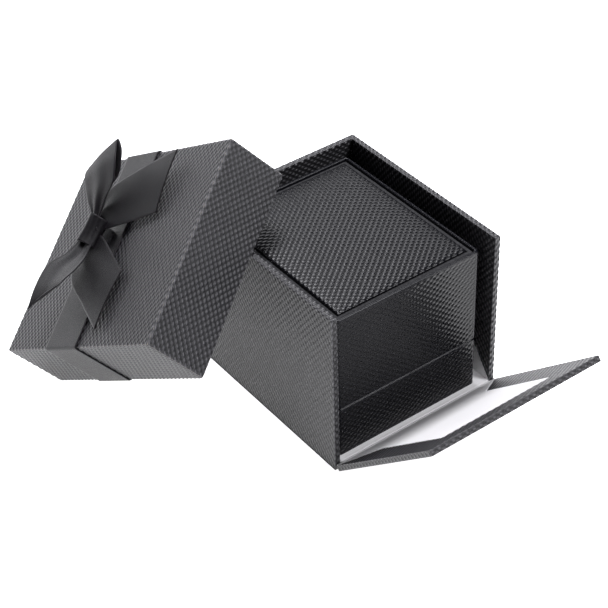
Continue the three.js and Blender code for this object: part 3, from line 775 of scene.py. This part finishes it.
FAR_LOOP = (
    [(-3.4, 0.0, 5.6), (-2.4, 4.7, 6.2), (-4.8, 8.3, 7.4), (-6.7, 11.9, 8.8), (-7.6, 14.8, 10.0),
     (-8.2, 17.1, 10.2), (-7.8, 16.6, 9.4), (-6.2, 14.3, 8.6), (-4.7, 11.5, 7.4), (-3.7, 8.4, 6.0),
     (-2.4, 4.7, 4.4), (-3.2, 1.3, 3.2)],
    [(2.3, -0.1, 5.0), (1.5, 4.3, 5.4), (3.6, 9.7, 7.0), (7.1, 13.3, 8.8), (6.4, 19.8, 10.8),
     (3.7, 26.0, 11.2), (6.3, 23.6, 10.6), (7.5, 20.3, 9.8), (6.8, 15.4, 8.2), (-0.1, 10.7, 6.0),
     (-1.1, 5.1, 4.2), (0.1, 1.3, 2.8)],
)
NEAR_LOOP = (
    [(-2.4, 0.0, 6.4), (-2.8, -4.0, 6.6), (-4.9, -8.4, 7.6), (-8.8, -12.9, 9.4), (-8.7, -20.5, 10.2),
     (-8.9, -26.8, 9.4), (-10.2, -25.1, 8.4), (-11.6, -19.4, 7.2), (-8.2, -12.9, 5.6), (-2.5, -5.0, 3.8),
     (-2.2, 0.0, 3.0)],
    [(1.7, 0.1, 5.0), (2.2, -5.4, 5.0), (4.4, -10.2, 6.4), (5.2, -14.7, 8.0), (4.1, -18.2, 9.2),
     (2.5, -19.5, 9.0), (1.0, -18.4, 8.2), (-1.1, -13.1, 6.4), (-1.8, -8.6, 5.0), (-1.1, -3.9, 3.6),
     (-1.0, 0.3, 2.8)],
)
FAR_TAIL = (
    [(-2.5, 2.9, 3.0), (-2.1, 13.0, 4.2), (8.4, 19.3, 3.8), (23.7, 25.1, 3.0)],
    [(-2.0, 0.1, 2.4), (3.2, 1.2, 2.8), (11.9, 3.6, 1.6), (22.4, 6.0, 0.9)],
)
NEAR_TAIL = (
    [(-1.1, 0.5, 2.8), (3.6, -1.6, 2.8), (10.7, -6.8, 2.0), (17.7, -12.2, 1.2)],
    [(-4.6, -1.1, 2.4), (-4.8, -13.7, 2.8), (5.7, -22.5, 1.8), (16.5, -30.2, 1.2)],
)
KNOT_RADIUS = (2.35, 2.5)  # across the lid's top and upwards
KNOT_CENTRE = (-0.5, 4.5)  # across the lid's top and upwards, from the bow's seat
KNOT_LENGTH = 8.6
KNOT_SKEW = 0.19  # how far it leans across for each millimetre along
KNOT_SLANT = 0.8  # how far its ends slant, either way
KNOT_PRESS = 0.22  # how far one of its sides is pressed down


def bow_place():
    place, size = lid_frame()
    return place @ Matrix.Translation(Vector((BOW_SEAT[0], BOW_SEAT[1], size[2] + 0.4)))


def bow_knot(settings):
    """The tie round the middle: an oval tube of gathered ribbon."""
    obj, s, t = grid(64, 24)
    turn = s * 2 * math.pi
    flare = 1 + 0.12 * (2 * t - 1) ** 2
    crease = 1 + 0.06 * np.cos(turn * 3 + 1.5 * t) + 0.03 * np.cos(turn * 8 - 2 * t)
    along = (t - 0.5) * KNOT_LENGTH
    sag = KNOT_PRESS * np.clip(np.cos(turn), 0, 1)
    points = np.stack([
        KNOT_RADIUS[0] * np.cos(turn) * flare * crease + KNOT_SKEW * along + KNOT_CENTRE[0],
        along - KNOT_SLANT * np.cos(turn),
        KNOT_CENTRE[1] + KNOT_RADIUS[1] * np.sin(turn) * flare * crease - sag,
    ], 1)
    set_points(obj, points)
    set_uv(obj, np.stack([t * 9.0, s * 18.0], 1))
    made = joined("bow_knot_satin", [obj], bow_place())
    return thicken(made, settings.thickness, -1.0)


# ---------- ring box ----------


def ring_sides(z_range, box, radius, style, chamfer, calm):
    """The four sides covered in leatherette, between two heights."""
    low, high = box
    ranges = {0: (low[0], high[0]), 1: (low[1], high[1]), 2: z_range}
    parts = [covered_face(axis, side, ranges, box, radius, grain, style, press=LEATHER_PRESS, calm=calm)
             for side in (-1, 1) for axis, grain in ((0, 2), (1, 0))]
    for part in parts:
        set_points(part, chamfer(points_of(part)))
    return parts


def calm_rim(bottom, top):
    """The relief dies away where the leatherette rolls over the top and bottom edges."""
    def calm(points):
        gap = np.minimum(top - points[:, 2], points[:, 2] - bottom)
        return np.clip(1 + CALM_HOLD - gap / CALM_REACH, 0, 1)
    return calm


def eased(points, low, high, z_edge, direction, reach):
    """Rounds the edge where the sides meet the height z_edge; direction is +1 for an upper edge."""
    near = np.clip(1 - direction * (z_edge - points[:, 2]) / reach, 0, 1)
    pull = reach * (1 - np.sqrt(1 - near**2))
    middle = (low + high) / 2
    for axis in (0, 1):
        away = points[:, axis] - middle[axis]
        at_edge = np.abs(away) > (high[axis] - low[axis]) / 2 - RING_CORNER - CORNER_MARGIN
        points[:, axis] -= np.where(at_edge, np.sign(away) * pull, 0)
    return points


def edge_bead(low, high, corner, z, radius):
    """A fine rolled edge round the box: low and high are the centre line's corners."""
    turns = []
    for quarter, (x, y) in enumerate(((1, 1), (-1, 1), (-1, -1), (1, -1))):
        centre = np.array([high[0] - corner if x > 0 else low[0] + corner,
                           high[1] - corner if y > 0 else low[1] + corner])
        for angle in np.linspace(0, math.pi / 2, 9) + quarter * math.pi / 2:
            out = np.array([math.cos(angle), math.sin(angle)])
            turns.append((centre + corner * out, out))
    turns.append(turns[0])
    line = np.array([t[0] for t in turns])
    outward = np.array([t[1] for t in turns])
    obj, s, t = grid(len(turns) - 1, 10)
    k = np.rint(s * (len(turns) - 1)).astype(int)
    angle = -t * 2 * math.pi
    flat = line[k] + outward[k] * (radius * np.cos(angle))[:, None]
    points = np.column_stack([flat, z + radius * np.sin(angle)])
    set_points(obj, points)
    set_uv(obj, np.stack([points[:, 0], points[:, 1]], 1))
    set_edge(obj, 1.0)
    return obj


class RingBox:
    """Sizes of the ring box, from its CAD covers."""

    def __init__(self):
        self.base_low, self.base_high = row_box("ring_base_cover")
        self.lid_low, self.lid_high = row_box("ring_lid_cover")
        joint = next(j for j in frame["joints"] if j["name"] == "ring_lid_hinge")
        self.pivot = np.array(joint["pos_m"]) / MM

    def chamfer(self, side):
        """Takes the back edge at the seam back to the slope that the hinge needs."""
        back = self.base_high[1]
        seam = self.base_high[2] if side < 0 else self.lid_low[2]

        def apply(points):
            excess = (points[:, 1] - back) - side * (points[:, 2] - seam) + RING_CHAMFER
            excess = np.maximum(excess, 0) / 2
            points[:, 1] -= excess
            points[:, 2] += side * excess
            return points

        return apply


def rim_strips(box, wall, z, side, chamfer, roll=0.0, drop=0.0):
    """Four flat strips mitred at the corners: the rim at a seam, or the border round the lid's top."""
    low, high = box
    parts = []
    for axis in (0, 1):
        for end in (-1, 1):
            outer = high[axis] if end > 0 else low[axis]
            inner = outer - end * wall
            other = 1 - axis
            obj, s, t = grid(10, 90)
            points = np.zeros((len(s), 3))
            points[:, axis] = outer + (inner - outer) * s
            inset = np.abs(points[:, axis] - outer)
            span = high[other] - low[other]
            points[:, other] = low[other] + inset + (span - 2 * inset) * t
            points[:, 2] = z + roll * np.sin(s * math.pi * 0.8) - drop * s**5
            set_points(obj, chamfer(points))
            set_uv(obj, np.stack([points[:, 0], points[:, 1]], 1))
            set_edge(obj, 1.0)
            if (obj.data.polygons[0].normal.z > 0) != (side > 0):
                obj.data.flip_normals()
            parts.append(obj)
    return parts


def open_hinge_room(obj, pivot):
    """Takes out the stretch of the covering where the hinge's knuckles sit."""
    alone(obj)
    bpy.ops.object.mode_set(mode="EDIT")
    bpy.ops.mesh.select_all(action="DESELECT")
    bpy.ops.mesh.select_mode(type="FACE")
    bpy.ops.object.mode_set(mode="OBJECT")
    for polygon in obj.data.polygons:
        c = polygon.center / MM
        near = abs(c.x - pivot[0]) < HINGE_ROOM_HALF and abs(c.z - pivot[2]) < HINGE_ROOM_REACH
        polygon.select = bool(near and c.y > pivot[1] - HINGE_ROOM_DEPTH)
    bpy.ops.object.mode_set(mode="EDIT")
    bpy.ops.mesh.delete(type="FACE")
    bpy.ops.object.mode_set(mode="OBJECT")
    return obj


def ring_base_covering(style):
    ring = RingBox()
    low, high = ring.base_low, ring.base_high
    chamfer = ring.chamfer(-1)
    box = ((low[0], low[1], low[2] - OPEN_END), (high[0], high[1], high[2] + OPEN_END))
    parts = ring_sides((low[2], high[2]), box, RING_CORNER, style, chamfer, calm_rim(low[2], high[2]))
    for part in parts:
        set_points(part, eased(points_of(part), low, high, high[2], 1, SEAM_EASE))
    inset = np.array([SEAM_EASE, SEAM_EASE, 0])
    parts += rim_strips((low + inset, high - inset), RING_WALL - SEAM_EASE, high[2], 1, chamfer)
    bead = edge_bead(low + BEAD_R, high - np.array([BEAD_R, BEAD_R + RING_CHAMFER, 0]), RING_CORNER,
                     high[2] - BEAD_R, BEAD_R)
    parts.append(bead)
    made = joined("ring_base_leatherette", parts)
    return open_hinge_room(made, ring.pivot)


def ring_lid_covering(style):
    ring = RingBox()
    low, high = ring.lid_low, ring.lid_high
    chamfer = ring.chamfer(1)
    box = ((low[0], low[1], low[2] - OPEN_END), (high[0], high[1], high[2] + OPEN_END))
    parts = ring_sides((low[2], high[2]), box, RING_CORNER, style, chamfer, calm_rim(low[2], high[2]))
    for part in parts:
        points = eased(points_of(part), low, high, high[2], 1, BORDER_EASE)
        set_points(part, eased(points, low, high, low[2], -1, SEAM_EASE))
    inset = np.array([BORDER_EASE, BORDER_EASE, 0])
    parts += rim_strips((low + inset, high - inset), BORDER_STRIP, high[2], 1, lambda p: p,
                        BORDER_ROLL, BORDER_DROP)
    inset = np.array([SEAM_EASE, SEAM_EASE, 0])
    parts += rim_strips((low + inset, high - inset), RING_WALL - SEAM_EASE, low[2], -1, chamfer)
    inset = np.array([BORDER_BEAD_R, BORDER_BEAD_R, 0])
    bead_z = high[2] - BORDER_BEAD_R / 2
    parts.append(edge_bead(low + inset, high - inset, RING_CORNER, bead_z, BORDER_BEAD_R))
    made = joined("ring_lid_leatherette", parts)
    return open_hinge_room(made, ring.pivot)


def crowned_pad(name, low, high, crown, edge, style, face, depth):
    """A padded slab whose broad face swells between its edges; face is +1 up or -1 down."""
    size = high - low
    cells = [round(size[0] * style.mesh_steps[0] / style.relief_u),
             round(size[1] * style.mesh_steps[1] / style.relief_v)]
    obj, s, t = grid(cells[0], cells[1])
    x, y = low[0] + size[0] * s, low[1] + size[1] * t
    margin = np.minimum(np.minimum(x - low[0], high[0] - x), np.minimum(y - low[1], high[1] - y))
    roll = np.sqrt(np.clip(1 - (1 - np.clip(margin / edge, 0, 1)) ** 2, 0, 1))
    swell = (1 - (2 * s - 1) ** 4) * (1 - (2 * t - 1) ** 4)
    rise = size[2] - crown
    height = rise * roll + crown * swell**0.6
    height = height - depth * (1 - relief(x, y, style)) * roll
    z = low[2] + height if face > 0 else high[2] - height
    set_points(obj, np.stack([x, y, z], 1))
    set_uv(obj, np.stack([x, y], 1))
    if face < 0:
        obj.data.flip_normals()
    return joined(name, [obj])


def roll_pad(name, node):
    """A velvet roll: a squarish section, narrowed at its ends and slightly dimpled along its length."""
    low, high = row_box(node)
    size = high - low
    obj, s, t = grid(120, 60)
    turn = t * 2 * math.pi
    lean = np.sign(np.cos(turn)) * np.abs(np.cos(turn)) ** ROLL_POWERS[0]
    rise = np.sign(np.sin(turn)) * np.abs(np.sin(turn)) ** ROLL_POWERS[1]
    end = np.clip(np.minimum(s, 1 - s) / ROLL_END, 0, 1)
    swell = np.sqrt(np.clip(1 - (1 - end) ** 2, 0, 1)) * 0.5 + 0.5
    swell = swell * (1 - ROLL_DIMPLE * np.cos(s * 12 * math.pi))
    points = np.stack([
        low[0] + size[0] * s,
        (low[1] + high[1]) / 2 + size[1] / 2 * lean * swell,
        (low[2] + high[2]) / 2 + size[2] / 2 * rise * swell,
    ], 1)
    set_points(obj, points)
    set_uv(obj, np.stack([points[:, 0], t * 40], 1))
    return joined(name, [obj])


# ---------- operators ----------


class GIFTBOX_OT_boards(bpy.types.Operator):
    """Give the boards, linings, shells and hinge that keep their CAD shape their finishes"""

    bl_idname = "giftbox.boards"
    bl_label = "Boards and Linings"

    def execute(self, context):
        style = context.scene.giftbox_surface
        finishes = {
            "greyboard": greyboard(),
            "white_paper": lining_paper(style),
            "moulded_shell": moulded_shell(),
            "foam": open_foam(),
            "spring_steel": nickel(),
            "velvet": velvet(),
            "embossed_paper": plain_paper(style),
            "leatherette": plain_paper(style),
            "satin_ribbon": plain_paper(style),
        }
        for sub in frame["record"]["subparts"]:
            data = frame["nodes"][sub["node"]].data
            data.materials.clear()
            data.materials.append(finishes[sub["material_slot"]])
        return {"FINISHED"}


class GIFTBOX_OT_packer(bpy.types.Operator):
    """Cover the packer's walls and its flap with embossed paper"""

    bl_idname = "giftbox.packer"
    bl_label = "Packer Covering"

    def execute(self, context):
        style = context.scene.giftbox_surface
        paper = embossed_paper(style)
        ride_as(packer_walls(style), "packer", "embossed_paper", paper, "packer_wrap")
        flap = flap_covering(style)
        ride_as(flap, "flap", "embossed_paper", paper, "flap_wrap")
        return {"FINISHED"}


class GIFTBOX_OT_fold(bpy.types.Operator):
    """Lay one strip of lining across the fold between floor and flap"""

    bl_idname = "giftbox.fold"
    bl_label = "Fold"

    def execute(self, context):
        style = context.scene.giftbox_surface
        low, high = row_box("floor_lining")
        joint = next(j for j in frame["joints"] if j["name"] == "flap_fold")
        pivot = np.array(joint["pos_m"]) / MM
        angle = math.radians(FLAP_ANGLE)
        out = np.array([-math.cos(angle), math.sin(angle)])
        top = high[2] + FOLD_LIFT
        start = np.array([low[1] + FOLD_START, top])
        bend = np.array([pivot[1] + FOLD_BEND, top])
        far = pivot[1:] + out * FOLD_REACH + np.array(FOLD_FLAP_LIFT)
        knots = smooth_line([start, (start + bend) / 2, bend, far], 14)
        half = high[0] - FOLD_SIDE_GAP
        lining = fold_strip("fold_lining", knots, half, FOLD_THICKNESS)
        lining.data.materials.clear()
        lining.data.materials.append(lining_paper(style))
        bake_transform(lining)
        return {"FINISHED"}


class GIFTBOX_OT_outer_lid(bpy.types.Operator):
    """Cover the outer lid with embossed paper"""

    bl_idname = "giftbox.outer_lid"
    bl_label = "Outer Lid Covering"

    def execute(self, context):
        style = context.scene.giftbox_surface
        ride_as(lid_covering(style), "outer_lid", "embossed_paper", embossed_paper(style), "lid_wrap")
        return {"FINISHED"}


class GIFTBOX_OT_ribbon(bpy.types.Operator):
    """Lay the satin band round the lid and tie the bow on it"""

    bl_idname = "giftbox.ribbon"
    bl_label = "Ribbon and Bow"

    def execute(self, context):
        settings = context.scene.giftbox_ribbon
        cloth = satin(settings)
        band, length = ribbon_band(settings)
        ride_as(band, "outer_lid", "satin_ribbon", cloth, "ribbon_band")
        strips = (
            ("bow_far_loop_satin", FAR_LOOP, "bow_loop_far", 0.5, 0.25),
            ("bow_near_loop_satin", NEAR_LOOP, "bow_loop_near", 0.5, 0.25),
            ("bow_far_tail_satin", FAR_TAIL, "bow_tail_far", 0.5, 0.8),
            ("bow_near_tail_satin", NEAR_TAIL, "bow_tail_near", 0.5, 0.5),
        )
        for name, (left, right), node, crown, pleats in strips:
            piece, run = ribbon_strip(name, left, right, bow_place(), settings.thickness,
                                      crown=crown, pleats=pleats)
            ride_as(piece, "outer_lid", "satin_ribbon", cloth, node)
        knot = bow_knot(settings)
        ride_as(knot, "outer_lid", "satin_ribbon", cloth, "bow_knot")
        return {"FINISHED"}


class GIFTBOX_OT_ring_box(bpy.types.Operator):
    """Cover the ring box in black leatherette and fit the domed panel of its lid"""

    bl_idname = "giftbox.ring_box"
    bl_label = "Ring Box"

    def execute(self, context):
        style = context.scene.giftbox_surface
        leather = leatherette(style)
        ride_as(ring_base_covering(style), "ring_box", "leatherette", leather, "ring_base_cover")
        ride_as(ring_lid_covering(style), "ring_lid", "leatherette", leather, "ring_lid_cover")
        low, high = row_box("ring_lid_panel")
        groove = np.array([PANEL_GROOVE, PANEL_GROOVE, 0])
        panel = crowned_pad("ring_lid_top_panel", low + groove, high - groove, PANEL_CROWN, PANEL_EDGE,
                            style, 1, LEATHER_PRESS * style.relief_depth)
        thicken(panel, PAD_COVER * MM)
        ride_as(panel, "ring_lid", "leatherette", leather, "ring_lid_panel")
        return {"FINISHED"}


class GIFTBOX_OT_padding(bpy.types.Operator):
    """Fit the satin pad under the ring lid and the velvet rolls that hold the ring"""

    bl_idname = "giftbox.padding"
    bl_label = "Ring Box Padding"

    def execute(self, context):
        style = context.scene.giftbox_surface
        low, high = row_box("ring_lid_puff")
        puff = crowned_pad("ring_lid_satin_pad", low, high, SATIN_PAD_CROWN, SATIN_PAD_EDGE, style, -1, 0.0)
        thicken(puff, PAD_COVER * MM)
        ride_as(puff, "ring_lid", "satin_ribbon", satin(context.scene.giftbox_ribbon), "ring_lid_puff")
        pile = velvet()
        for node in ("ring_roll_front", "ring_roll_back"):
            roll = roll_pad(node + "_velvet", node)
            ride_as(roll, "ring_box", "velvet", pile, node)
        return {"FINISHED"}


class GIFTBOX_OT_stage(bpy.types.Operator):
    """Set the floor, the lights and the camera"""

    bl_idname = "giftbox.stage"
    bl_label = "Stage"

    def execute(self, context):
        settings = context.scene.giftbox_stage
        bpy.ops.object.select_all(action="DESELECT")
        bpy.ops.mesh.primitive_plane_add(size=8, location=(0, 0, -0.0002))
        floor = context.object
        floor.name = "floor"
        finish = Finish("pale floor", 0.9, Specular_IOR_Level=0.1)
        finish.shader.inputs["Base Color"].default_value = (0.9, 0.9, 0.9, 1)
        finish.shader.inputs["Emission Color"].default_value = (1, 1, 1, 1)
        finish.shader.inputs["Emission Strength"].default_value = 1.05
        floor.data.materials.append(finish.material)

        world = bpy.data.worlds.new("studio")
        context.scene.world = world
        world.use_nodes = True
        background = world.node_tree.nodes["Background"]
        background.inputs["Color"].default_value = (0.85, 0.9, 1.0, 1)
        background.inputs["Strength"].default_value = 0.02
        area_light("overhead", (0.15, 0.34, 1.0), (0.45, 0.45), 12.0)
        area_light("backdrop", (0.3, 1.2, 0.42), (2.2, 0.8), 12.0)
        area_light("front", (0.50, -0.72, 0.92), (0.5, 0.5), 11.0)

        camera = bpy.data.cameras.new("camera")
        camera.lens = settings.lens
        camera.sensor_width = 36.0
        camera.clip_start = 0.01
        camera.clip_end = 20.0
        holder = bpy.data.objects.new("camera", camera)
        context.collection.objects.link(holder)
        a, e = math.radians(settings.azimuth), math.radians(settings.elevation)
        back = Vector((math.sin(a) * math.cos(e), -math.cos(a) * math.cos(e), math.sin(e)))
        look = (-back).to_track_quat("-Z", "Y")
        holder.rotation_mode = "QUATERNION"
        holder.location = Vector(settings.target) + back * settings.distance
        holder.rotation_quaternion = look @ Euler((0, 0, math.radians(settings.roll))).to_quaternion()
        context.scene.camera = holder
        context.scene.view_settings.view_transform = "Standard"
        return {"FINISHED"}


def area_light(name, place, size, power):
    light = bpy.data.lights.new(name, "AREA")
    light.shape = "RECTANGLE"
    light.size, light.size_y = size
    light.energy = power
    light.color = (0.96, 0.96, 1.0)
    holder = bpy.data.objects.new(name, light)
    bpy.context.collection.objects.link(holder)
    holder.location = place
    aim = Vector((0, 0, 0.03)) - holder.location
    holder.rotation_mode = "QUATERNION"
    holder.rotation_quaternion = aim.to_track_quat("-Z", "Y")


OPERATORS = (
    GIFTBOX_OT_boards,
    GIFTBOX_OT_packer,
    GIFTBOX_OT_fold,
    GIFTBOX_OT_outer_lid,
    GIFTBOX_OT_ribbon,
    GIFTBOX_OT_ring_box,
    GIFTBOX_OT_padding,
    GIFTBOX_OT_stage,
)


class GIFTBOX_PT_panel(bpy.types.Panel):
    bl_label = "Jewelry Gift Box"
    bl_idname = "GIFTBOX_PT_panel"
    bl_space_type = "VIEW_3D"
    bl_region_type = "UI"
    bl_category = "Gift Box"

    def draw(self, context):
        for group in ("giftbox_surface", "giftbox_ribbon", "giftbox_stage"):
            settings = getattr(context.scene, group)
            for key in settings.__annotations__:
                self.layout.prop(settings, key)
        for operator in OPERATORS:
            self.layout.operator(operator.bl_idname)


CLASSES = (GiftBoxSurface, GiftBoxRibbon, GiftBoxStage, *OPERATORS, GIFTBOX_PT_panel)


def register():
    for cls in CLASSES:
        bpy.utils.register_class(cls)
    bpy.types.Scene.giftbox_surface = bpy.props.PointerProperty(type=GiftBoxSurface)
    bpy.types.Scene.giftbox_ribbon = bpy.props.PointerProperty(type=GiftBoxRibbon)
    bpy.types.Scene.giftbox_stage = bpy.props.PointerProperty(type=GiftBoxStage)


def unregister():
    del bpy.types.Scene.giftbox_stage
    del bpy.types.Scene.giftbox_ribbon
    del bpy.types.Scene.giftbox_surface
    for cls in reversed(CLASSES):
        bpy.utils.unregister_class(cls)


def main():
    register()
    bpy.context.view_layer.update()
    bpy.ops.giftbox.boards()
    bpy.ops.giftbox.packer()
    bpy.ops.giftbox.fold()
    bpy.ops.giftbox.outer_lid()
    bpy.ops.giftbox.ribbon()
    bpy.ops.giftbox.ring_box()
    bpy.ops.giftbox.padding()
    bpy.ops.giftbox.stage()


if __name__ == "__main__":
    main()
